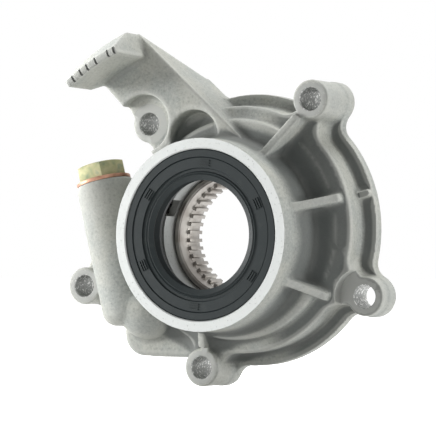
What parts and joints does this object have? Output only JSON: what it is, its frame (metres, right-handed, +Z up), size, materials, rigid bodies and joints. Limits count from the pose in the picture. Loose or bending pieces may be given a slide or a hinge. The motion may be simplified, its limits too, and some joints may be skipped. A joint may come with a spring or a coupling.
{
  "type": "engine oil pump",
  "caption": "Crank-driven internal-gear oil pump: ribbed cast housing with crank seal, splined inner gear, ring gear, rear cover, relief valve, bolt lugs and an overhanging timing pointer.",
  "frame": {"origin": "the crankshaft axis where it meets the rear mounting face", "axes": "+Y along the crank into the engine, -Y to the pump's front, +Z up, +X right seen from the front"},
  "size_m": [0.1421, 0.0475, 0.1449],
  "materials": {
    "cast_aluminium": "sand-cast, machined on the front ring",
    "cover_steel": "ground",
    "screw_steel": "oiled black",
    "drive_steel": "machined",
    "driven_steel": "sintered",
    "seal_rubber": "satin",
    "seal_steel": "pressed",
    "garter_steel": "wound wire",
    "piston_steel": "ground",
    "spring_steel": "drawn wire",
    "plug_zinc": "yellow zinc plate",
    "washer_copper": "annealed copper"
  },
  "bodies": {
    "housing": {"pump_body": "cast_aluminium", "rear_cover": "cover_steel", "cover_screws": "screw_steel", "seal_rubber": "seal_rubber", "seal_case": "seal_steel", "seal_garter_spring": "garter_steel", "relief_spring": "spring_steel", "relief_plug": "plug_zinc", "plug_gasket": "washer_copper"},
    "drive_gear": {"drive_gear": "drive_steel"},
    "driven_gear": {"driven_gear": "driven_steel"},
    "relief_piston": {"relief_piston": "piston_steel"}
  },
  "joints": [
    {"name": "driven_gear_spin", "type": "hinge", "parent": "housing", "child": "driven_gear", "pos_m": [0.00434, 0, 0.00248], "axis": [0, 1, 0], "continuous": true},
    {"name": "drive_gear_spin", "type": "hinge", "parent": "housing", "child": "drive_gear", "pos_m": [0, 0, 0], "axis": [0, 1, 0], "continuous": true},
    {"name": "relief_piston_slide", "type": "slide", "parent": "housing", "child": "relief_piston", "axis": [-0.2453, 0, 0.9694], "range_m": [0, 0.008], "stiffness_N_per_m": 1500, "deforming": ["relief_spring"]}
  ],
  "couplings": [
    {"joint": "drive_gear_spin", "follows": "driven_gear_spin", "ratio": 1.1667}
  ]
}
